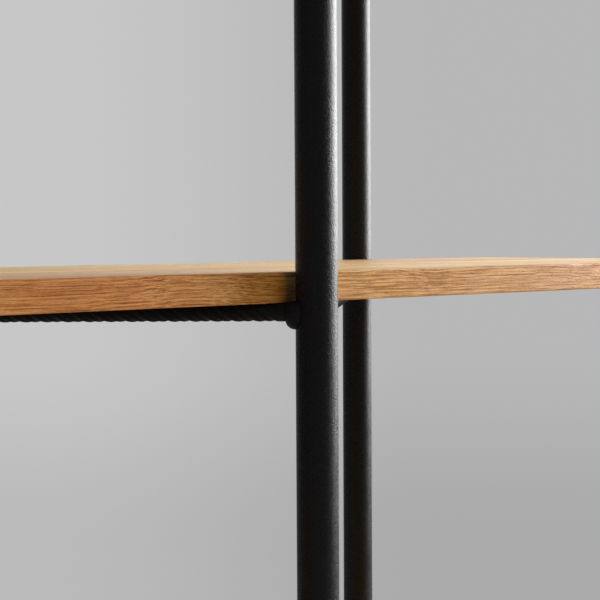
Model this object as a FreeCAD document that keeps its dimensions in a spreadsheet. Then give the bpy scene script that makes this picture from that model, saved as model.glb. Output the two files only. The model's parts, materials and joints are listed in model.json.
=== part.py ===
"""Bookcase: oak shelves threaded between two staggered rows of tube posts, carried on zigzag bars.

Millimetres, +Z up, +X to the right along the shelves, +Y to the back. The origin is on the floor at the
middle of the footprint.
"""
import FreeCAD, Part
import math
import os

import Sketcher

Vector = FreeCAD.Vector
Rotation = FreeCAD.Rotation
Placement = FreeCAD.Placement

DRIVING_DIMENSIONS = {
    "post_diameter": 25.4,
    "post_wall": 2,
    "post_step": 320,
    "row_spacing": 300,
    "post_top": 1960,
    "shelf_count": 6,
    "shelf_first_top": 130,
    "shelf_pitch": 355,
    "shelf_thickness": 18.5,
    "shelf_gap": 0.8,
    "shelf_overhang": 146,
    "shelf_edge_round": 1,
    "bar_diameter": 11.2,
    "spigot_diameter": 8,
    "spigot_inside": 1,
    "fit_gap": 0.1,
    "collar_diameter": 20.6,
    "collar_reach": 6,
    "collar_length": 12,
    "collar_round": 5.8,
    "saddle_from_rear": 88,
    "saddle_width": 16,
    "saddle_strip": 2,
    "saddle_span": 36,
    "screw_offset": 13,
    "screw_diameter": 4,
    "screw_length": 14,
    "screw_head_diameter": 8,
    "screw_head_height": 2.2,
    "screw_head_round": 0.8,
    "recess_length": 4.4,
    "recess_width": 0.9,
    "recess_depth": 1.3,
    "cap_height": 3,
    "cap_round": 1.5,
    "plug_length": 14,
    "insert_length": 25,
    "insert_flange": 3,
    "stem_diameter": 8,
    "stem_gap": 0.05,
    "stem_above_hex": 34,
    "stem_in_pad": 5,
    "hex_across_corners": 15,
    "hex_height": 4,
    "pad_diameter": 24,
    "pad_height": 9,
    "pad_round": 1.5,
}

# Each post: its place in steps of post_step from the middle, and its row, -1 in front and 1 at the back.
POSTS = {
    "front_left": (-1.5, -1),
    "rear_left": (-0.5, 1),
    "front_right": (0.5, -1),
    "rear_right": (1.5, 1),
}

# Each bar of a level runs from the first post to the second.
BARS = {
    "left": ("front_left", "rear_left"),
    "middle": ("front_right", "rear_left"),
    "right": ("front_right", "rear_right"),
}

BAR_LENGTH = "sqrt(Dims.post_step ^ 2 + Dims.row_spacing ^ 2)"
SHELF_LENGTH = "3 * Dims.post_step + 2 * Dims.shelf_overhang"
SHELF_DEPTH = "Dims.row_spacing - Dims.post_diameter - 2 * Dims.shelf_gap"
POST_BOTTOM = "Dims.pad_height + Dims.hex_height + Dims.insert_flange"
BAR_DROP = "(Dims.shelf_thickness + Dims.bar_diameter / 2)"
FIRST_BAR_HEIGHT = f"Dims.shelf_first_top - {BAR_DROP}"
TUBE_BORE = "Dims.post_diameter - 2 * Dims.post_wall"
PLUG_DIAMETER = f"{TUBE_BORE} - 2 * Dims.fit_gap"
COLLAR_END = "Dims.post_diameter / 2 + Dims.collar_reach"
SPIGOT_START = "Dims.post_diameter / 2 - Dims.post_wall - Dims.spigot_inside"
SPIGOT_BORE = "Dims.spigot_diameter + 2 * Dims.fit_gap"
SADDLE_BORE = "Dims.bar_diameter + 2 * Dims.fit_gap"
SADDLE_ROUND = f"({SADDLE_BORE} + 2 * Dims.saddle_strip)"
SCREW_BORE = "Dims.screw_diameter + 2 * Dims.fit_gap"
STEM_BORE = "Dims.stem_diameter + 2 * Dims.stem_gap"

doc = FreeCAD.newDocument("bookcase")
sheet = doc.addObject("Spreadsheet::Sheet", "Dims")
for row, (alias, value) in enumerate(DRIVING_DIMENSIONS.items(), start=1):
    sheet.set(f"A{row}", alias)
    sheet.set(f"B{row}", str(value))
    sheet.setAlias(f"B{row}", alias)
doc.recompute()

nodes = []


def evaluate(expression):
    """Value of an expression of the sheet's cells, in millimetres."""
    result = sheet.evalExpression(expression)
    return float(getattr(result, "Value", result))


def bind(target, **expressions):
    """Bind properties of an object to expressions of the sheet."""
    for name, expression in expressions.items():
        target.setExpression(name, expression)


def place(target, x="0", y="0", z="0", yaw=0.0):
    """Put an object at bound coordinates, turned about the vertical."""
    target.Placement = Placement(Vector(), Rotation(Vector(0, 0, 1), yaw))
    for axis, expression in zip("xyz", (x, y, z)):
        target.setExpression(f"Placement.Base.{axis}", expression)


def add_node(target, label):
    """Name a finished piece, so that it is written out."""
    target.Label = label
    nodes.append(target)


def origin_feature(body, role):
    """One of a body's own base planes or axes."""
    return next(item for item in body.Origin.OriginFeatures if item.Role == role)


def sketch_on(body, name, plane, offset="0", yaw=0.0):
    """Empty sketch on a base plane, moved along its normal, or turned about the vertical."""
    sketch = body.newObject("Sketcher::SketchObject", name)
    sketch.AttachmentSupport = (origin_feature(body, plane), [""])
    sketch.MapMode = "FlatFace"
    sketch.AttachmentOffset = Placement(Vector(), Rotation(Vector(0, 1, 0), yaw))
    sketch.setExpression("AttachmentOffset.Base.z", offset)
    return sketch


def add_circle(sketch, diameter, height="0"):
    """Circle on the sketch's vertical axis, with a bound diameter and height."""
    size = evaluate(diameter)
    rise = evaluate(height)
    circle = sketch.addGeometry(Part.Circle(Vector(0, rise, 0), Vector(0, 0, 1), size / 2), False)
    sketch.addConstraint(Sketcher.Constraint("PointOnObject", circle, 3, -2))
    width = sketch.addConstraint(Sketcher.Constraint("Diameter", circle, size))
    sketch.setExpression(f"Constraints[{width}]", diameter)
    if rise:
        level = sketch.addConstraint(Sketcher.Constraint("DistanceY", -1, 1, circle, 3, rise))
        sketch.setExpression(f"Constraints[{level}]", height)
    else:
        sketch.addConstraint(Sketcher.Constraint("PointOnObject", circle, 3, -1))


def add_rectangle(sketch, width, depth):
    """Rectangle about the sketch's origin, with bound sides."""
    half_width = evaluate(width) / 2
    half_depth = evaluate(depth) / 2
    corners = [
        Vector(-half_width, -half_depth, 0),
        Vector(half_width, -half_depth, 0),
        Vector(half_width, half_depth, 0),
        Vector(-half_width, half_depth, 0),
    ]
    sides = []
    for start, end in zip(corners, corners[1:] + corners[:1]):
        sides.append(sketch.addGeometry(Part.LineSegment(start, end), False))
    for this, following in zip(sides, sides[1:] + sides[:1]):
        sketch.addConstraint(Sketcher.Constraint("Coincident", this, 2, following, 1))
    for side, direction in zip(sides, ("Horizontal", "Vertical") * 2):
        sketch.addConstraint(Sketcher.Constraint(direction, side))
    sketch.addConstraint(Sketcher.Constraint("Symmetric", sides[0], 1, sides[1], 2, -1, 1))
    across = sketch.addConstraint(Sketcher.Constraint("DistanceX", sides[0], 1, sides[0], 2, 2 * half_width))
    along = sketch.addConstraint(Sketcher.Constraint("DistanceY", sides[1], 1, sides[1], 2, 2 * half_depth))
    sketch.setExpression(f"Constraints[{across}]", width)
    sketch.setExpression(f"Constraints[{along}]", depth)


def pad(body, name, sketch, length):
    """Grow a sketch along its normal."""
    feature = body.newObject("PartDesign::Pad", name)
    feature.Profile = sketch
    feature.setExpression("Length", length)
    return feature


def pocket(body, name, sketch, length, forward=False, both_ways=False):
    """Cut a sketch out of the body, and make sure that something was cut."""
    doc.recompute()
    before = body.Shape.Volume
    feature = body.newObject("PartDesign::Pocket", name)
    feature.Profile = sketch
    feature.setExpression("Length", length)
    feature.Reversed = forward
    feature.Midplane = both_ways
    doc.recompute()
    if not body.Shape.Volume < before:
        raise RuntimeError(f"{name} cut nothing")
    return feature


def round_edges(body, name, base, radius, wanted):
    """Round the edges of a feature that a test picks out."""
    doc.recompute()
    chosen = [f"Edge{i}" for i, edge in enumerate(base.Shape.Edges, start=1) if wanted(edge)]
    feature = body.newObject("PartDesign::Fillet", name)
    feature.Base = (base, chosen)
    feature.setExpression("Radius", radius)
    doc.recompute()
    return feature


def is_circle(edge, diameter):
    """True for a full round edge of this diameter."""
    return isinstance(edge.Curve, Part.Circle) and abs(2 * edge.Curve.Radius - diameter) < 0.01


def post_place(post):
    """Bound plan position of a post's axis."""
    steps, row_sign = POSTS[post]
    return f"{steps} * Dims.post_step", f"{row_sign} * Dims.row_spacing / 2"


def plan_point(post):
    """Plan position of a post's axis as a vector."""
    x, y = post_place(post)
    return Vector(evaluate(x), evaluate(y), 0)


def yaw_between(post, other):
    """Angle about the vertical, in degrees, from one post towards another."""
    way = plan_point(other) - plan_point(post)
    return math.degrees(math.atan2(way.y, way.x))


def bar_yaws(post):
    """Angles of the bars that meet a post."""
    yaws = []
    for first, second in BARS.values():
        if post == first:
            yaws.append(yaw_between(first, second))
        if post == second:
            yaws.append(yaw_between(second, first))
    return yaws


def level_top(level):
    """Bound height of a shelf's upper face, levels counted from 1 at the floor."""
    return f"Dims.shelf_first_top + {level - 1} * Dims.shelf_pitch"


def bar_height(level):
    """Bound height of the bars' axes under a shelf."""
    return f"{level_top(level)} - {BAR_DROP}"


def make_post(post):
    """Tube with a hole in its wall for each bar, at every shelf."""
    body = doc.addObject("PartDesign::Body", f"Post_{post}")
    section = sketch_on(body, f"PostSection_{post}", "XY_Plane", POST_BOTTOM)
    add_circle(section, "Dims.post_diameter")
    add_circle(section, TUBE_BORE)
    pad(body, f"PostTube_{post}", section, f"Dims.post_top - ({POST_BOTTOM})")
    for i, yaw in enumerate(bar_yaws(post)):
        name = f"{post}_{i}"
        hole = sketch_on(body, f"HoleSketch_{name}", "YZ_Plane", yaw=yaw)
        add_circle(hole, SPIGOT_BORE, FIRST_BAR_HEIGHT)
        first_hole = pocket(body, f"Hole_{name}", hole, "Dims.post_diameter", forward=True)
        column = body.newObject("PartDesign::LinearPattern", f"Holes_{name}")
        column.Originals = [first_hole]
        column.Direction = (origin_feature(body, "Z_Axis"), [""])
        column.setExpression("Length", "(Dims.shelf_count - 1) * Dims.shelf_pitch")
        column.setExpression("Occurrences", "Dims.shelf_count")
        body.Tip = column
        doc.recompute()
    x, y = post_place(post)
    place(body, x, y)
    add_node(body, f"post_{post}")


def make_plug(name, label, post, flange_base, flange, plug_base, plug_length, bore=None):
    """Round plug that fills a tube's end, with a flange that covers the tube's wall."""
    body = doc.addObject("PartDesign::Body", name)
    for part, base, diameter, length in (
        ("Flange", flange_base, "Dims.post_diameter", flange),
        ("Plug", plug_base, PLUG_DIAMETER, plug_length),
    ):
        section = sketch_on(body, f"{name}{part}Sketch", "XY_Plane", base)
        add_circle(section, diameter)
        if bore:
            add_circle(section, bore)
        pad(body, f"{name}{part}", section, length)
    x, y = post_place(post)
    place(body, x, y)
    add_node(body, label)
    return body


def make_cap(post):
    """Cap with a rounded rim on top of a post."""
    plug_base = "Dims.post_top - Dims.plug_length"
    body = make_plug(f"Cap_{post}", f"cap_{post}", post, "Dims.post_top", "Dims.cap_height",
                     plug_base, "Dims.plug_length")
    top = evaluate("Dims.post_top + Dims.cap_height")
    rim = evaluate("Dims.post_diameter")
    doc.recompute()
    round_edges(body, f"CapRound_{post}", body.Tip, "Dims.cap_round",
                lambda edge: is_circle(edge, rim) and abs(edge.BoundBox.ZMax - top) < 0.01)


def make_insert(post):
    """Threaded insert in the bottom of a post."""
    make_plug(f"Insert_{post}", f"insert_{post}", post, "Dims.pad_height + Dims.hex_height",
              "Dims.insert_flange", POST_BOTTOM, "Dims.insert_length", bore=STEM_BORE)


def make_foot(post):
    """Levelling foot: a stem with a hex, and the pad that it stands in."""
    x, y = post_place(post)
    stud = doc.addObject("Part::Cylinder", f"Stud_{post}")
    bind(stud, Radius="Dims.stem_diameter / 2",
         Height="Dims.stem_in_pad + Dims.hex_height + Dims.stem_above_hex")
    place(stud, z="Dims.pad_height - Dims.stem_in_pad")
    hexagon = doc.addObject("Part::Prism", f"Hex_{post}")
    hexagon.Polygon = 6
    bind(hexagon, Circumradius="Dims.hex_across_corners / 2", Height="Dims.hex_height")
    place(hexagon, z="Dims.pad_height")
    stem = doc.addObject("Part::Fuse", f"Stem_{post}")
    stem.Base = stud
    stem.Tool = hexagon
    place(stem, x, y)
    add_node(stem, f"foot_stem_{post}")

    body = doc.addObject("PartDesign::Body", f"Pad_{post}")
    section = sketch_on(body, f"PadSection_{post}", "XY_Plane")
    add_circle(section, "Dims.pad_diameter")
    disc = pad(body, f"PadDisc_{post}", section, "Dims.pad_height")
    rim = evaluate("Dims.pad_diameter")
    round_edges(body, f"PadRound_{post}", disc, "Dims.pad_round", lambda edge: is_circle(edge, rim))
    socket = sketch_on(body, f"PadSocketSketch_{post}", "XY_Plane", "Dims.pad_height")
    add_circle(socket, STEM_BORE)
    pocket(body, f"PadSocket_{post}", socket, "Dims.stem_in_pad")
    place(body, x, y)
    add_node(body, f"foot_pad_{post}")


def bar_frame(bar):
    """Start post, yaw and saddle's place of a bar, in plan; the saddle is near the bar's rear end."""
    first, second = BARS[bar]
    end = plan_point(second)
    forwards = plan_point(first) - end
    saddle = end + forwards * (evaluate("Dims.saddle_from_rear") / forwards.Length)
    return first, yaw_between(first, second), saddle


def screw_points():
    """Plan points of the screws that hold one shelf, two at each bar's saddle."""
    points = []
    offset = evaluate("Dims.screw_offset")
    for bar in BARS:
        _, yaw, saddle = bar_frame(bar)
        across = Rotation(Vector(0, 0, 1), yaw).multVec(Vector(0, offset, 0))
        points += [saddle + across, saddle - across]
    return points


def make_shelf(level):
    """Board with eased edges and pilot holes in its underside."""
    body = doc.addObject("PartDesign::Body", f"Shelf_{level}")
    outline = sketch_on(body, f"ShelfOutline_{level}", "XY_Plane")
    add_rectangle(outline, SHELF_LENGTH, SHELF_DEPTH)
    board = pad(body, f"ShelfBoard_{level}", outline, "Dims.shelf_thickness")
    round_edges(body, f"ShelfRound_{level}", board, "Dims.shelf_edge_round", lambda edge: True)
    pilots = sketch_on(body, f"PilotSketch_{level}", "XY_Plane")
    for point in screw_points():
        circle = pilots.addGeometry(Part.Circle(point, Vector(0, 0, 1), 1), False)
        pilots.addConstraint(Sketcher.Constraint("DistanceX", -1, 1, circle, 3, point.x))
        pilots.addConstraint(Sketcher.Constraint("DistanceY", -1, 1, circle, 3, point.y))
        width = pilots.addConstraint(Sketcher.Constraint("Diameter", circle, 2))
        pilots.setExpression(f"Constraints[{width}]", SCREW_BORE)
    pocket(body, f"Pilots_{level}", pilots, "Dims.screw_length", forward=True)
    place(body, z=f"{level_top(level)} - Dims.shelf_thickness")
    add_node(body, f"shelf_{level}")


def make_bar(level, bar):
    """Round bar with a spigot at each end that enters the post's wall."""
    name = f"{level}_{bar}"
    body = doc.addObject("PartDesign::Body", f"Bar_{name}")
    for part, start, diameter in (
        ("Core", SPIGOT_START, "Dims.spigot_diameter"),
        ("Shaft", COLLAR_END, "Dims.bar_diameter"),
    ):
        section = sketch_on(body, f"Bar{part}Sketch_{name}", "YZ_Plane", start)
        add_circle(section, diameter)
        pad(body, f"Bar{part}_{name}", section, f"{BAR_LENGTH} - 2 * ({start})")
    first, yaw, _ = bar_frame(bar)
    x, y = post_place(first)
    place(body, x, y, bar_height(level), yaw)
    add_node(body, f"bar_{level}_{bar}")


def make_collar_form():
    """Rounded collar on a bar's end, coped to the post, its top cut level with the bar's top."""
    body = doc.addObject("PartDesign::Body", "CollarForm")
    section = sketch_on(body, "CollarSection", "YZ_Plane", f"{COLLAR_END} - Dims.collar_length")
    add_circle(section, "Dims.collar_diameter")
    add_circle(section, SPIGOT_BORE)
    ring = pad(body, "CollarRing", section, "Dims.collar_length")
    rim = evaluate("Dims.collar_diameter")
    round_edges(body, "CollarRound", ring, "Dims.collar_round", lambda edge: is_circle(edge, rim))
    cope = sketch_on(body, "CollarCopeSketch", "XY_Plane")
    add_circle(cope, "Dims.post_diameter + Dims.fit_gap")
    pocket(body, "CollarCope", cope, "2 * Dims.collar_diameter", both_ways=True)
    seat = sketch_on(body, "CollarSeatSketch", "XY_Plane", "Dims.bar_diameter / 2")
    add_rectangle(seat, "4 * Dims.post_diameter", "4 * Dims.post_diameter")
    pocket(body, "CollarSeat", seat, "Dims.collar_diameter", forward=True)
    return body


def make_saddle_form():
    """Strap bent round the underside of a bar, with an ear on each side that meets the shelf."""
    def part_of(kind, name, x="0", y="0", z="0", **sizes):
        piece = doc.addObject(kind, name)
        bind(piece, **sizes)
        place(piece, x, y, z)
        return piece

    def along_bar(piece, length):
        piece.Placement = Placement(Vector(), Rotation(Vector(0, 1, 0), 90))
        piece.setExpression("Placement.Base.x", f"-({length}) / 2")

    def fuse(name, pieces):
        joined = doc.addObject("Part::MultiFuse", name)
        joined.Shapes = pieces
        return joined

    half_width = "-Dims.saddle_width / 2"
    bar_top = "Dims.bar_diameter / 2"
    cut_width = "2 * Dims.saddle_width"
    ears = part_of("Part::Box", "SaddleEars", half_width, "-Dims.saddle_span / 2",
                   f"{bar_top} - Dims.saddle_strip", Length="Dims.saddle_width",
                   Width="Dims.saddle_span", Height="Dims.saddle_strip")
    legs = part_of("Part::Box", "SaddleLegs", half_width, f"-{SADDLE_ROUND} / 2", "0",
                   Length="Dims.saddle_width", Width=SADDLE_ROUND, Height=bar_top)
    bend = part_of("Part::Cylinder", "SaddleBend", Radius=f"{SADDLE_ROUND} / 2",
                   Height="Dims.saddle_width")
    along_bar(bend, "Dims.saddle_width")
    bore = part_of("Part::Cylinder", "SaddleBore", Radius=f"({SADDLE_BORE}) / 2", Height=cut_width)
    along_bar(bore, cut_width)
    slot = part_of("Part::Box", "SaddleSlot", "-Dims.saddle_width", f"-({SADDLE_BORE}) / 2", "0",
                   Length=cut_width, Width=SADDLE_BORE, Height="Dims.bar_diameter")
    above = part_of("Part::Box", "SaddleAbove", "-Dims.saddle_width", "-Dims.saddle_span", bar_top,
                    Length=cut_width, Width="2 * Dims.saddle_span", Height="Dims.bar_diameter")
    holes = []
    for side in (-1, 1):
        holes.append(part_of("Part::Cylinder", f"SaddleHole_{len(holes)}",
                             y=f"{side} * Dims.screw_offset", Radius=f"({SCREW_BORE}) / 2",
                             Height="Dims.bar_diameter"))
    saddle = doc.addObject("Part::Cut", "SaddleForm")
    saddle.Base = fuse("SaddleStrap", [ears, legs, bend])
    saddle.Tool = fuse("SaddleCuts", [bore, slot, above] + holes)
    return saddle


def make_screw_form():
    """Wood screw, head down with a cross recess, its axis vertical and its seat at height 0."""
    body = doc.addObject("PartDesign::Body", "ScrewForm")
    for part, start, diameter, length in (
        ("Shank", "0", "Dims.screw_diameter", "Dims.screw_length"),
        ("Head", "-Dims.screw_head_height", "Dims.screw_head_diameter", "Dims.screw_head_height"),
    ):
        section = sketch_on(body, f"Screw{part}Sketch", "XY_Plane", start)
        add_circle(section, diameter)
        last = pad(body, f"Screw{part}", section, length)
    head = evaluate("Dims.screw_head_diameter")
    round_edges(body, "ScrewHeadRound", last, "Dims.screw_head_round",
                lambda edge: is_circle(edge, head) and edge.BoundBox.ZMax < -0.1)
    long_side = "Dims.recess_length"
    short_side = "Dims.recess_width"
    for name, width, depth in (("ScrewSlot", long_side, short_side), ("ScrewCross", short_side, long_side)):
        slot = sketch_on(body, f"{name}Sketch", "XY_Plane", "-Dims.screw_head_height")
        add_rectangle(slot, width, depth)
        pocket(body, name, slot, "Dims.recess_depth", forward=True)
    return body


def add_group(label, form, placements):
    """Node that holds separate copies of one small piece."""
    copies = []
    for placement in placements:
        copy = form.Shape.copy()
        copy.Placement = placement.multiply(form.Shape.Placement)
        copies.append(copy)
    group = doc.addObject("Part::Feature", f"Group_{label}")
    group.Shape = Part.makeCompound(copies)
    add_node(group, label)


def upright(point, height, yaw=0.0):
    """Placement over a plan point at a height, turned about the vertical."""
    return Placement(Vector(point.x, point.y, height), Rotation(Vector(0, 0, 1), yaw))


levels = range(1, int(evaluate("Dims.shelf_count")) + 1)

for post_name in POSTS:
    make_post(post_name)
    make_cap(post_name)
    make_insert(post_name)
    make_foot(post_name)

for shelf_level in levels:
    make_shelf(shelf_level)
    for bar_name in BARS:
        make_bar(shelf_level, bar_name)

collar_form = make_collar_form()
saddle_form = make_saddle_form()
screw_form = make_screw_form()
doc.recompute()

for post_name in POSTS:
    spots = [upright(plan_point(post_name), evaluate(bar_height(level)), yaw)
             for level in levels for yaw in bar_yaws(post_name)]
    add_group(f"collars_{post_name}", collar_form, spots)

for shelf_level in levels:
    axis_height = evaluate(bar_height(shelf_level))
    spots = []
    for bar_name in BARS:
        _, bar_yaw, saddle_point = bar_frame(bar_name)
        spots.append(upright(saddle_point, axis_height, bar_yaw))
    add_group(f"saddles_{shelf_level}", saddle_form, spots)

ear_drop = evaluate("Dims.shelf_thickness + Dims.saddle_strip")
screw_spots = [upright(point, evaluate(level_top(level)) - ear_drop)
               for level in levels for point in screw_points()]
add_group("saddle_screws", screw_form, screw_spots)
doc.recompute()

for item in doc.Objects:
    if {"Invalid", "Error"} & set(item.State):
        raise RuntimeError(f"{item.Label} did not compute: {item.State}")
for node in nodes:
    if node.Shape.isNull() or not node.Shape.isValid():
        raise RuntimeError(f"{node.Label} has no valid shape")

os.makedirs("parts", exist_ok=True)
for node in nodes:
    node.Shape.exportStep(f"parts/{node.Label}.step")
print(f"{len(nodes)} pieces written")
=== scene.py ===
"""Looks of the bookcase: oak boards, powder-coated posts and rope-twist bars, and the studio round them.

Metres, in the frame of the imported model: +X along the shelves, +Y to the back, +Z up.
"""
import json
import math

import bpy
import numpy as np
from mathutils import Matrix, Vector


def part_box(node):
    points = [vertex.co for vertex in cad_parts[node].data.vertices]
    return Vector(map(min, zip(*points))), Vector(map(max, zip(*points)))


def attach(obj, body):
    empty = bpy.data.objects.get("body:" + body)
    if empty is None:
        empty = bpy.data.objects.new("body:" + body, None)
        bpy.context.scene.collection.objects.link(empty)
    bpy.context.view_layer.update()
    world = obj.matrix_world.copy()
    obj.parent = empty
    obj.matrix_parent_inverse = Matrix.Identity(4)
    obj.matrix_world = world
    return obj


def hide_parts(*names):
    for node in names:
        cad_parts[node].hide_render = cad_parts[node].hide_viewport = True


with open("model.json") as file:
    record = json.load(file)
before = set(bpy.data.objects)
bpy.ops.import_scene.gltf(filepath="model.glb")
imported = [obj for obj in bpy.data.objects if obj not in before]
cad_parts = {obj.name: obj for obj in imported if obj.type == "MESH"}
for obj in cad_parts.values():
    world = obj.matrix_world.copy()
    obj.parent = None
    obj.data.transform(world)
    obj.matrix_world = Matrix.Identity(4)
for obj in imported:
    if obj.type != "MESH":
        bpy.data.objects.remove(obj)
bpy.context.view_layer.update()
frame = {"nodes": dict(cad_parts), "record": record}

MM = 0.001
POSTS = ("front_left", "rear_left", "front_right", "rear_right")
BARS = {
    "left": ("front_left", "rear_left"),
    "middle": ("front_right", "rear_left"),
    "right": ("front_right", "rear_right"),
}
LEVELS = range(1, 7)

# The photograph's view: the camera's place from the front post's axis at the shelf's upper face.
PHOTO_POST = "post_front_right"
PHOTO_SHELF = "shelf_4"
CAMERA_OFFSET = Vector((-600 * MM, -662 * MM, 22.2 * MM))
CAMERA_YAW = math.radians(41.55)
CAMERA_PITCH = math.radians(-2.5)
CAMERA_ROLL = math.radians(-0.32)
IMAGE_PIXELS = 600
FOCAL_PIXELS = 1500
SENSOR_MM = 36
CLIP_START = 10 * MM

# Rope-twist bar, right-hand lay, with plain ends: six strands in pairs, flattened against each other.
# Each flat is an angle and a distance from the axis, repeats at every pair, and has a groove along it.
STRAND_PAIRS = 3
FLATS = ((math.radians(0), 4.88 * MM), (math.radians(67.5), 5.18 * MM))
FLAT_REACH = math.radians(60)
GROOVE_DEPTH = 0.5 * MM
LAY_LENGTH = 38.25 * MM
LAY_START = math.radians(-42.4)
BAR_RADIUS = 5.75 * MM
BAR_RISE = 0.2 * MM
BAR_END_FROM_POST = 17 * MM
SPIGOT_END_FROM_POST = 9.7 * MM
SPIGOT_RADIUS = 3.9 * MM
PLAIN_END_LENGTH = 6.6 * MM
TWIST_RUN_IN = 2 * MM
BAR_STEP = 1.5 * MM
BAR_SIDES = 48
BAR_SHARP_ANGLE = math.radians(85)

# Levelling foot: a threaded stud with a bevelled hex on top of the pad.
STUD_RADIUS = 4 * MM
STUD_SIDES = 24
THREAD_PITCH = 1.25 * MM
THREAD_DEPTH = 0.7 * MM
THREAD_STEP = THREAD_PITCH / 6
HEX_RADIUS = 7.5 * MM
HEX_HEIGHT = 4 * MM
HEX_BEVEL = 0.5 * MM
STUD_TIP_BEVEL = 1.5 * THREAD_DEPTH
STUD_SHARP_ANGLE = math.radians(40)


def middle(node):
    """Middle of a node's box."""
    low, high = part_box(node)
    return (low + high) / 2


def linear(*display):
    """Linear colour, with full alpha, from 8-bit display values."""
    channels = []
    for value in display:
        share = value / 255
        channels.append(share / 12.92 if share <= 0.04045 else ((share + 0.055) / 1.055) ** 2.4)
    return (*channels, 1.0)


# Node helpers

def add(tree, kind, inputs=None, **settings):
    """New shader node, with its settings, and its inputs set to values or linked to sockets."""
    node = tree.nodes.new("ShaderNode" + kind)
    for name, value in settings.items():
        setattr(node, name, value)
    for key, value in (inputs or {}).items():
        if isinstance(value, bpy.types.NodeSocket):
            tree.links.new(value, node.inputs[key])
        else:
            node.inputs[key].default_value = value
    return node


def calc(tree, operation, *values):
    """Output of a Math node."""
    return add(tree, "Math", dict(enumerate(values)), operation=operation).outputs[0]


def scaled(tree, vector, *scale):
    """Vector multiplied by a scale on each axis."""
    return add(tree, "VectorMath", {0: vector, 1: scale}, operation="MULTIPLY").outputs[0]


def noise(tree, vector, detail=2.0, roughness=0.5):
    """Noise of about one feature per unit of the vector."""
    inputs = {"Vector": vector, "Scale": 1.0, "Detail": detail, "Roughness": roughness}
    return add(tree, "TexNoise", inputs).outputs["Fac"]


def remap(tree, value, low, high, to_low=0.0, to_high=1.0, smooth=False):
    """Value carried from one range to another, and held inside it."""
    inputs = {"Value": value, "From Min": low, "From Max": high, "To Min": to_low, "To Max": to_high}
    kind = "SMOOTHSTEP" if smooth else "LINEAR"
    return add(tree, "MapRange", inputs, interpolation_type=kind).outputs["Result"]


def mix(tree, factor, first, second, blend="MIX"):
    """Blend of two colours."""
    node = add(tree, "Mix", data_type="RGBA", blend_type=blend)
    for key, value in (("Factor_Float", factor), ("A_Color", first), ("B_Color", second)):
        socket = next(item for item in node.inputs if item.identifier == key)
        if isinstance(value, bpy.types.NodeSocket):
            tree.links.new(value, socket)
        else:
            socket.default_value = value
    return next(item for item in node.outputs if item.identifier == "Result_Color")


def new_material(name):
    """Empty material and its node tree."""
    material = bpy.data.materials.new(name)
    material.use_nodes = True
    material.node_tree.nodes.clear()
    return material, material.node_tree


def finish_material(tree, color, roughness, height, depth, **sockets):
    """Principled surface with a bump of a real depth in metres."""
    bump = add(tree, "Bump", {"Height": height, "Distance": depth, "Strength": 1.0})
    inputs = {"Base Color": color, "Roughness": roughness, "Normal": bump.outputs["Normal"]}
    inputs.update({key.replace("_", " "): value for key, value in sockets.items()})
    shader = add(tree, "BsdfPrincipled", inputs)
    add(tree, "OutputMaterial", {"Surface": shader.outputs["BSDF"]})


def object_point(tree):
    """Point in the model's frame."""
    return add(tree, "TexCoord").outputs["Object"]


# Materials

COAT_GRAINS_PER_METRE = 1400
COAT_SPECKS_PER_METRE = 1700
COAT_BUMP = 0.3 * MM
COAT_BLACKS = (linear(21, 23, 25), linear(31, 33, 36))
SPECK_ROUGHNESS = 0.09


def powder_coat(name, least_rough, most_rough, specular):
    """Black textured powder coat: a fine orange-peel grain, and specks and slight patches in its gloss."""
    material, tree = new_material(name)
    point = object_point(tree)
    grain = noise(tree, scaled(tree, point, *[COAT_GRAINS_PER_METRE] * 3), detail=1, roughness=0.6)
    patches = noise(tree, scaled(tree, point, 40, 40, 25), detail=3)
    tone = remap(tree, grain, 0.35, 0.7)
    color = mix(tree, tone, *COAT_BLACKS)
    speck_point = scaled(tree, point, *[COAT_SPECKS_PER_METRE] * 3)
    cells = add(tree, "TexVoronoi", {"Vector": speck_point, "Scale": 1.0})
    glint = add(tree, "SeparateXYZ", {0: cells.outputs["Color"]}).outputs[0]
    roughness = calc(tree, "ADD", remap(tree, patches, 0.3, 0.7, least_rough, most_rough),
                     remap(tree, glint, 0.0, 1.0, -SPECK_ROUGHNESS, SPECK_ROUGHNESS))
    finish_material(tree, color, roughness, grain, COAT_BUMP, Specular_IOR_Level=specular)
    return material


def moulded_plastic():
    """Black moulded plastic with a fine spark texture."""
    material, tree = new_material("moulded_plastic")
    point = object_point(tree)
    grain = noise(tree, scaled(tree, point, 2200, 2200, 2200), detail=2)
    color = mix(tree, grain, linear(16, 16, 17), linear(24, 24, 25))
    roughness = remap(tree, grain, 0.3, 0.7, 0.5, 0.65)
    finish_material(tree, color, roughness, grain, 0.04 * MM)
    return material


def zinc_plate():
    """Bright zinc plate with faint drawn lines and clouding."""
    material, tree = new_material("zinc_plate")
    point = object_point(tree)
    lines = noise(tree, scaled(tree, point, 900, 900, 5000), detail=2)
    clouds = noise(tree, scaled(tree, point, 180, 180, 180), detail=3)
    color = mix(tree, clouds, linear(168, 170, 174), linear(206, 207, 208))
    roughness = remap(tree, clouds, 0.3, 0.7, 0.24, 0.4)
    finish_material(tree, color, roughness, lines, 0.01 * MM, Metallic=1.0)
    return material


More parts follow.
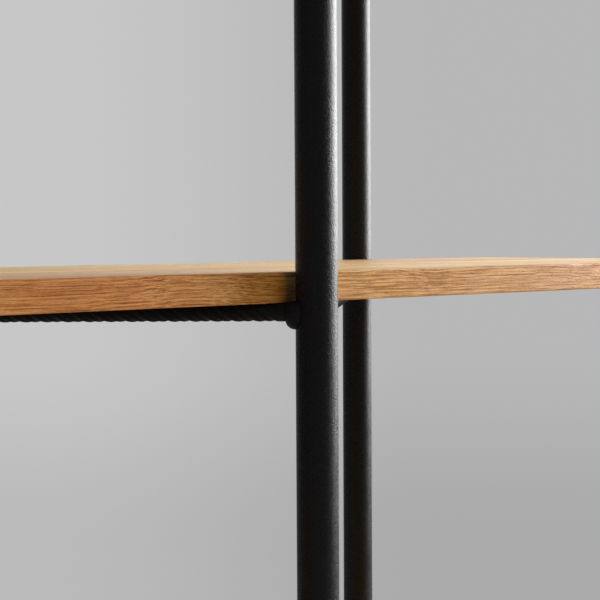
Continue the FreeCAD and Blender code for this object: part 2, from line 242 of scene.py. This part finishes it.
SHELF_LOW, SHELF_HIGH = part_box("shelf_1")
SHELF_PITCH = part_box("shelf_2")[0].z - SHELF_LOW.z
PLANK_WIDTH = (SHELF_HIGH.y - SHELF_LOW.y) / 2
PLANK_SEED = 278.0
LOG_SHIFT = 7.0
LEAST_ABOVE_PITH = 50 * MM
MOST_ABOVE_PITH = 110 * MM
MARGIN_BELOW_SHELF = 50 * MM
RING_SPACING = 2.1 * MM
RING_BEND = 10 * MM
RING_WEAVE = 4 * MM
OAK_LIGHT = linear(224, 187, 112)
OAK_DARK = linear(158, 112, 49)
OAK_PORE = linear(112, 66, 32)
# Pale outer wood of the log, also painted as a highlight along the joint between the planks.
OAK_SAPWOOD_AND_HIGHLIGHT = linear(238, 208, 166)
OAK_END_GRAIN = linear(205, 190, 175)
PLANK_SHADES = (linear(255, 250, 244), linear(236, 224, 210))
# Colours of slow tone patches; the darker, redder one is partly random tone and partly painted shade.
OAK_TINTS_AND_SHADE = (linear(230, 191, 163), linear(255, 255, 234))
OAK_SHEEN = linear(238, 255, 226)


def plank_place(tree):
    """Place in a plank's own log, as (along, from the pith sideways, from it upwards), tone, and a pale
    band at the plank's back edge: its outer wood, and a painted highlight along the joint.
    """
    along, across, up = add(tree, "SeparateXYZ", {0: object_point(tree)}).outputs
    raised = calc(tree, "SUBTRACT", up, SHELF_LOW.z - MARGIN_BELOW_SHELF)
    level = calc(tree, "FLOOR", calc(tree, "DIVIDE", raised, SHELF_PITCH))
    height = calc(tree, "SUBTRACT", calc(tree, "SUBTRACT", up, SHELF_LOW.z),
                  calc(tree, "MULTIPLY", level, SHELF_PITCH))
    planks = calc(tree, "DIVIDE", calc(tree, "SUBTRACT", across, SHELF_LOW.y), PLANK_WIDTH)
    plank = calc(tree, "FLOOR", planks)
    inside = calc(tree, "SUBTRACT", planks, plank)
    key = add(tree, "CombineXYZ", {0: plank, 1: level, 2: PLANK_SEED}).outputs[0]
    chance = add(tree, "SeparateXYZ", {0: add(tree, "TexWhiteNoise", {"Vector": key}).outputs["Color"]})
    first, second, third = chance.outputs
    length = calc(tree, "ADD", along, calc(tree, "MULTIPLY", first, LOG_SHIFT))
    sideways = calc(tree, "MULTIPLY", calc(tree, "SUBTRACT", inside, second), PLANK_WIDTH)
    above_pith = remap(tree, third, 0, 1, LEAST_ABOVE_PITH, MOST_ABOVE_PITH)
    upwards = calc(tree, "ADD", height, above_pith)
    place = add(tree, "CombineXYZ", {0: length, 1: sideways, 2: upwards}).outputs[0]
    # Pale band up to the plank's back edge, of random strength: outer wood, and a painted highlight along
    # the joint.
    sapwood_and_highlight = calc(tree, "MULTIPLY", remap(tree, inside, 0.8, 0.97, smooth=True), first)
    return place, second, sapwood_and_highlight


def oak():
    """Oiled oak glued up from two planks: growth rings, pores and fibre run along each plank."""
    material, tree = new_material("oak")
    place, tone, sapwood_and_highlight = plank_place(tree)
    length, sideways, upwards = add(tree, "SeparateXYZ", {0: place}).outputs

    bend = noise(tree, scaled(tree, place, 6, 10, 10), detail=1)
    weave = noise(tree, scaled(tree, place, 17, 25, 25), detail=1)
    drift = calc(tree, "ADD", calc(tree, "MULTIPLY", bend, RING_BEND),
                 calc(tree, "MULTIPLY", weave, RING_WEAVE))
    beside = calc(tree, "ADD", sideways, drift)
    above = calc(tree, "ADD", upwards, drift)
    radius = calc(tree, "SQRT", calc(tree, "ADD", calc(tree, "MULTIPLY", beside, beside),
                                     calc(tree, "MULTIPLY", above, above)))
    grain = add(tree, "CombineXYZ", {0: length, 1: beside, 2: above}).outputs[0]

    ring = calc(tree, "FRACT", calc(tree, "DIVIDE", radius, RING_SPACING))
    early = calc(tree, "MULTIPLY", remap(tree, ring, 0.0, 0.2, smooth=True),
                 remap(tree, ring, 0.7, 0.25, smooth=True))
    fibre = noise(tree, scaled(tree, grain, 420, 3000, 3000), detail=2, roughness=0.6)
    streak = noise(tree, scaled(tree, grain, 22, 1800, 1800), detail=4, roughness=0.7)
    band = noise(tree, scaled(tree, grain, 9, 300, 300), detail=2)
    broad = noise(tree, scaled(tree, grain, 4, 60, 60), detail=2)
    pore_noise = noise(tree, scaled(tree, grain, 80, 2300, 2300), detail=1)
    pore_limit = remap(tree, early, 0, 1, 0.66, 0.57)
    pores = remap(tree, calc(tree, "SUBTRACT", pore_noise, pore_limit), 0.0, 0.08)

    darkness = calc(tree, "ADD", calc(tree, "MULTIPLY", early, 0.25),
                    remap(tree, streak, 0.34, 0.66, -0.35, 0.9))
    darkness = calc(tree, "ADD", darkness, remap(tree, band, 0.3, 0.7, -0.1, 0.2))
    darkness = calc(tree, "ADD", darkness, remap(tree, fibre, 0.3, 0.7, -0.2, 0.3))
    darkness = calc(tree, "ADD", darkness, remap(tree, broad, 0.3, 0.7, -0.1, 0.15))
    wood = mix(tree, darkness, OAK_LIGHT, OAK_DARK)
    wood = mix(tree, calc(tree, "MULTIPLY", pores, 0.6), wood, OAK_PORE)
    # Painted highlight and pale outer wood along each plank's back edge.
    wood = mix(tree, calc(tree, "MULTIPLY", sapwood_and_highlight, 0.6), wood, OAK_SAPWOOD_AND_HIGHLIGHT)
    shade = mix(tree, tone, *PLANK_SHADES)
    wood = mix(tree, 1.0, wood, shade, "MULTIPLY")
    # Slow patches of warmer, darker tone: random tone, and painted shade that darkens and reddens the left
    # of the shelf in the camera's view.
    warmth_and_shade = noise(tree, scaled(tree, place, 2.5, 5, 5), detail=1)
    across_grain = add(tree, "SeparateXYZ", {0: add(tree, "NewGeometry").outputs["Normal"]}).outputs[0]
    end_grain = remap(tree, calc(tree, "ABSOLUTE", across_grain), 0.6, 0.9)
    wood = mix(tree, end_grain, wood, OAK_END_GRAIN, "MULTIPLY")
    tint_and_shade = mix(tree, remap(tree, warmth_and_shade, 0.35, 0.65), *OAK_TINTS_AND_SHADE)
    color = mix(tree, 1.0, wood, tint_and_shade, "MULTIPLY")

    roughness = remap(tree, fibre, 0.3, 0.7, 0.42, 0.52)
    gloss = remap(tree, darkness, 0.0, 1.0, 0.52, 0.08)
    hollow = calc(tree, "SUBTRACT", calc(tree, "MULTIPLY", fibre, 0.3), pores)
    finish_material(tree, color, roughness, hollow, 0.03 * MM, Specular_IOR_Level=gloss,
                    Sheen_Weight=0.09, Sheen_Roughness=0.4, Sheen_Tint=OAK_SHEEN)
    return material


# Pieces

def new_piece(name, points, faces, material, body):
    """Smooth mesh piece that rides a body."""
    mesh = bpy.data.meshes.new(name)
    mesh.from_pydata(points, [], faces)
    mesh.polygons.foreach_set("use_smooth", [True] * len(mesh.polygons))
    mesh.update()
    mesh.materials.append(material)
    piece = bpy.data.objects.new(name, mesh)
    bpy.context.scene.collection.objects.link(piece)
    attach(piece, body)
    return piece


def ring_faces(rings, sides):
    """Faces between rings of points, one after another, and a face at each end."""
    faces = []
    for low in range(0, (rings - 1) * sides, sides):
        for i in range(sides):
            j = (i + 1) % sides
            faces.append((low + i, low + j, low + sides + j, low + sides + i))
    faces.append(tuple(reversed(range(sides))))
    faces.append(tuple(range((rings - 1) * sides, rings * sides)))
    return faces


def strand_section():
    """Angles and radii of the bar's cross-section; every groove falls on one of its sides' edges."""
    angles = np.linspace(0, 2 * math.pi, BAR_SIDES, endpoint=False)
    radii = np.full(BAR_SIDES, BAR_RADIUS)
    grooves = np.zeros(BAR_SIDES)
    for pair in range(STRAND_PAIRS):
        for place, distance in FLATS:
            facing = np.cos(angles - place - 2 * math.pi * pair / STRAND_PAIRS)
            radii = np.minimum(radii, distance / np.maximum(facing, math.cos(FLAT_REACH)))
            grooves[np.argmax(facing)] = GROOVE_DEPTH
    return angles, radii - grooves


def bar_rings(length, strands):
    """Places from the start of a bar's shaft and the radii there: a spigot, the shaft and a spigot."""
    count = round(length / BAR_STEP)
    places = np.linspace(0, length, count + 1)
    from_end = np.minimum(places, length - places) - PLAIN_END_LENGTH
    twist_share = np.clip(from_end / TWIST_RUN_IN, 0, 1)
    spigot = np.full(BAR_SIDES, SPIGOT_RADIUS)
    spigot_length = BAR_END_FROM_POST - SPIGOT_END_FROM_POST
    rings = [(-spigot_length, spigot), (0, spigot)]
    for place, share in zip(places, twist_share):
        rings.append((place, BAR_RADIUS + share * (strands - BAR_RADIUS)))
    return rings + [(length, spigot), (length + spigot_length, spigot)]


def twisted_bar(node, start, end, material):
    """Rope-twist bar with a spigot in each post; its mesh winds with the strands."""
    direction = (end - start).normalized()
    level = Vector((0, 0, 1))
    side = level.cross(direction)
    length = (end - start).length - 2 * BAR_END_FROM_POST
    angles, strands = strand_section()
    rings = bar_rings(length, strands)
    points = []
    for place, radii in rings:
        centre = start + direction * (BAR_END_FROM_POST + place)
        turned = angles + LAY_START + 2 * math.pi * place / LAY_LENGTH
        for angle, radius in zip(turned, radii):
            points.append(centre + side * (radius * math.cos(angle)) + level * (radius * math.sin(angle)))
    faces = ring_faces(len(rings), BAR_SIDES)
    piece = new_piece(f"twisted_{node}", points, faces, material, "frame")
    piece.data.set_sharp_from_angle(angle=BAR_SHARP_ANGLE)
    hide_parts(node)


def make_bars(material):
    """All the twisted bars, each between two posts and pressed a little into the board above it."""
    for level in LEVELS:
        for bar, (first, second) in BARS.items():
            node = f"bar_{level}_{bar}"
            height = middle(node).z + BAR_RISE
            start, end = (middle(f"post_{post}") for post in (first, second))
            start.z = height
            end.z = height
            twisted_bar(node, start, end, material)


def stud_rings(low, high, hex_low):
    """Heights and radii of the rings of a foot's stud, from its plain lower end to its bevelled tip."""
    angles = np.linspace(0, 2 * math.pi, STUD_SIDES, endpoint=False)
    plain = np.full(STUD_SIDES, STUD_RADIUS)
    corner = math.pi / 6
    hexagon = HEX_RADIUS * math.cos(corner) / np.cos(angles % (2 * corner) - corner)
    hex_high = hex_low + HEX_HEIGHT
    rings = [(low, plain), (hex_low, plain)]
    rings += [(hex_low, hexagon - HEX_BEVEL), (hex_low + HEX_BEVEL, hexagon)]
    rings += [(hex_high - HEX_BEVEL, hexagon), (hex_high, hexagon - HEX_BEVEL)]
    for height in np.arange(hex_high, high - THREAD_DEPTH, THREAD_STEP):
        turns = height / THREAD_PITCH - angles / (2 * math.pi)
        rings.append((height, STUD_RADIUS - THREAD_DEPTH * np.abs(2 * (turns % 1) - 1)))
    rings.append((high, plain - STUD_TIP_BEVEL))
    return angles, rings


def make_studs(material):
    """Threaded studs of the levelling feet."""
    for post in POSTS:
        node = f"foot_stem_{post}"
        axis = middle(node)
        low, high = (corner.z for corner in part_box(node))
        angles, rings = stud_rings(low, high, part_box(f"foot_pad_{post}")[1].z)
        points = []
        for height, radii in rings:
            for across, along in zip(axis.x + radii * np.cos(angles), axis.y + radii * np.sin(angles)):
                points.append((across, along, height))
        faces = ring_faces(len(rings), STUD_SIDES)
        piece = new_piece(f"threaded_{node}", points, faces, material, f"foot_{post}")
        piece.data.set_sharp_from_angle(angle=STUD_SHARP_ANGLE)
        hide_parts(node)


def dress_nodes(materials, bar_coat):
    """Give every node the material of its slot, but the bars' collars their coat."""
    for subpart in frame["record"]["subparts"]:
        name = subpart["node"]
        is_collar = name.startswith("collars_")
        node = frame["nodes"][name]
        node.data.materials.clear()
        node.data.materials.append(bar_coat if is_collar else materials[subpart["material_slot"]])


# Studio

BACKDROP_LEFT = linear(199, 199, 199)
BACKDROP_RIGHT = linear(183, 183, 183)
BACKDROP_LOW = linear(238, 238, 238)
FILL_COLOR = linear(225, 228, 232)
FLOOR_COLOR = linear(215, 215, 214)
LIT_SIDE = (0.95, 0.3, 0)
PANEL_STRENGTH = 3.0
FLOOR_RADIUS = 3.4
FLOOR_SIDES = 96
FLOOR_FADE_START = 0.55 * FLOOR_RADIUS
KEY_AIM = Vector((0.25, 0, 0))
FRONT_COLOR = (1.0, 0.76, 0.58)


def make_camera():
    """Camera at the photograph's viewing angle."""
    sight = Vector((math.sin(CAMERA_YAW) * math.cos(CAMERA_PITCH),
                    math.cos(CAMERA_YAW) * math.cos(CAMERA_PITCH), math.sin(CAMERA_PITCH)))
    right = Vector((math.cos(CAMERA_YAW), -math.sin(CAMERA_YAW), 0))
    up = right.cross(sight)
    rolled_right = right * math.cos(CAMERA_ROLL) + up * math.sin(CAMERA_ROLL)
    rolled_up = up * math.cos(CAMERA_ROLL) - right * math.sin(CAMERA_ROLL)
    data = bpy.data.cameras.new("camera")
    data.sensor_width = SENSOR_MM
    data.lens = FOCAL_PIXELS * SENSOR_MM / IMAGE_PIXELS
    data.clip_start = CLIP_START
    camera = bpy.data.objects.new("camera", data)
    turn = Matrix((rolled_right, rolled_up, -sight)).transposed()
    place = middle(PHOTO_POST) + CAMERA_OFFSET
    place.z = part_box(PHOTO_SHELF)[1].z + CAMERA_OFFSET.z
    camera.matrix_world = Matrix.Translation(place) @ turn.to_4x4()
    bpy.context.scene.collection.objects.link(camera)
    bpy.context.scene.camera = camera


def area_light(name, place, target, size, power, spread=180):
    """Square soft box that points at a target, with its light kept inside a spread in degrees."""
    data = bpy.data.lights.new(name, "AREA")
    data.size = size
    data.energy = power
    data.spread = math.radians(spread)
    light = bpy.data.objects.new(name, data)
    light.location = place
    light.rotation_euler = (target - place).to_track_quat("-Z", "Y").to_euler()
    bpy.context.scene.collection.objects.link(light)
    return light


def make_world():
    """Pale grey backdrop and a soft fill, stronger from the back.

    Reflections show the backdrop dimmer on the left and below, with a bright panel on the right.
    """
    world = bpy.data.worlds.new("studio")
    bpy.context.scene.world = world
    world.use_nodes = True
    tree = world.node_tree
    tree.nodes.clear()
    sight = add(tree, "TexCoord").outputs["Generated"]
    sideways = add(tree, "VectorMath", {0: sight, 1: (math.cos(CAMERA_YAW), -math.sin(CAMERA_YAW), 0)},
                   operation="DOT_PRODUCT").outputs["Value"]
    backdrop = mix(tree, remap(tree, sideways, -0.17, 0.09, smooth=True), BACKDROP_LEFT, BACKDROP_RIGHT)
    _, backwards, upwards = add(tree, "SeparateXYZ", {0: sight}).outputs
    backdrop = mix(tree, remap(tree, upwards, -0.07, -0.2, smooth=True), backdrop, BACKDROP_LOW, "MULTIPLY")
    path = add(tree, "LightPath")
    seen = calc(tree, "MAXIMUM", path.outputs["Is Camera Ray"], path.outputs["Is Glossy Ray"])
    seen = calc(tree, "MAXIMUM", seen, path.outputs["Is Transmission Ray"])
    lit_side = add(tree, "VectorMath", {0: sight, 1: LIT_SIDE},
                   operation="DOT_PRODUCT").outputs["Value"]
    wall = calc(tree, "MULTIPLY", remap(tree, lit_side, 0.0, 0.7, 0.4, 1.0, smooth=True),
                remap(tree, upwards, 0.0, -0.12, 1.0, 0.5))
    panel = calc(tree, "MULTIPLY", remap(tree, lit_side, 0.75, 0.95, 0.0, PANEL_STRENGTH),
                 remap(tree, upwards, -0.05, 0.01))
    reflected = calc(tree, "ADD", wall, panel)
    bright = remap(tree, path.outputs["Is Camera Ray"], 0.0, 1.0, reflected, 1.0)
    shown = add(tree, "Background", {"Color": backdrop, "Strength": bright})
    strength = remap(tree, backwards, -0.3, 0.7, 0.1, 0.5, smooth=True)
    fill = add(tree, "Background", {"Color": FILL_COLOR, "Strength": strength})
    both = add(tree, "MixShader", {0: seen, 1: fill.outputs[0], 2: shown.outputs[0]})
    add(tree, "OutputWorld", {"Surface": both.outputs[0]})


def make_floor():
    """Plain pale floor that fades out at its rim."""
    points = []
    for angle in np.linspace(0, 2 * math.pi, FLOOR_SIDES, endpoint=False):
        points.append((FLOOR_RADIUS * math.cos(angle), FLOOR_RADIUS * math.sin(angle), 0))
    mesh = bpy.data.meshes.new("floor")
    mesh.from_pydata(points, [], [tuple(range(FLOOR_SIDES))])
    material, tree = new_material("floor")
    reach = add(tree, "VectorMath", {0: object_point(tree)}, operation="LENGTH").outputs["Value"]
    surface = add(tree, "BsdfPrincipled", {"Base Color": FLOOR_COLOR, "Roughness": 0.8})
    clear = add(tree, "BsdfTransparent")
    rim = remap(tree, reach, FLOOR_FADE_START, FLOOR_RADIUS, smooth=True)
    faded = add(tree, "MixShader", {0: rim, 1: surface.outputs[0], 2: clear.outputs[0]})
    add(tree, "OutputMaterial", {"Surface": faded.outputs[0]})
    mesh.materials.append(material)
    floor = bpy.data.objects.new("floor", mesh)
    bpy.context.scene.collection.objects.link(floor)


def make_lights():
    """Key on the right, a rim lamp there that makes only glints, and two dim lamps that make none."""
    focus = middle(PHOTO_POST)
    focus.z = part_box(PHOTO_SHELF)[1].z
    area_light("key", focus + Vector((3.4, -0.98, 1.0)), focus + KEY_AIM, size=2.5, power=81, spread=90)
    rim = area_light("rim", focus + Vector((1.85, 0.2, 0.28)), focus, size=0.9, power=19)
    front = area_light("front", focus + Vector((0.4, -2.0, 0.7)), focus, size=1.4, power=13.2)
    back = area_light("back", focus + Vector((1.2, 1.2, 0.8)), focus, size=1.2, power=22)
    front.data.color = FRONT_COLOR
    rim.visible_diffuse = False
    for light in (front, back):
        light.visible_glossy = False


def main():
    """Dress the frame, add the twisted bars and threaded studs, and set up the studio."""
    materials = {
        "coated_steel": powder_coat("post_coat", least_rough=0.26, most_rough=0.33, specular=0.18),
        "oak": oak(),
        "black_plastic": moulded_plastic(),
        "zinc_steel": zinc_plate(),
    }
    bar_coat = powder_coat("bar_coat", least_rough=0.5, most_rough=0.6, specular=0.12)
    dress_nodes(materials, bar_coat)
    make_bars(bar_coat)
    make_studs(materials["zinc_steel"])
    make_camera()
    make_world()
    make_floor()
    make_lights()
    bpy.context.scene.view_settings.view_transform = "Standard"


main()
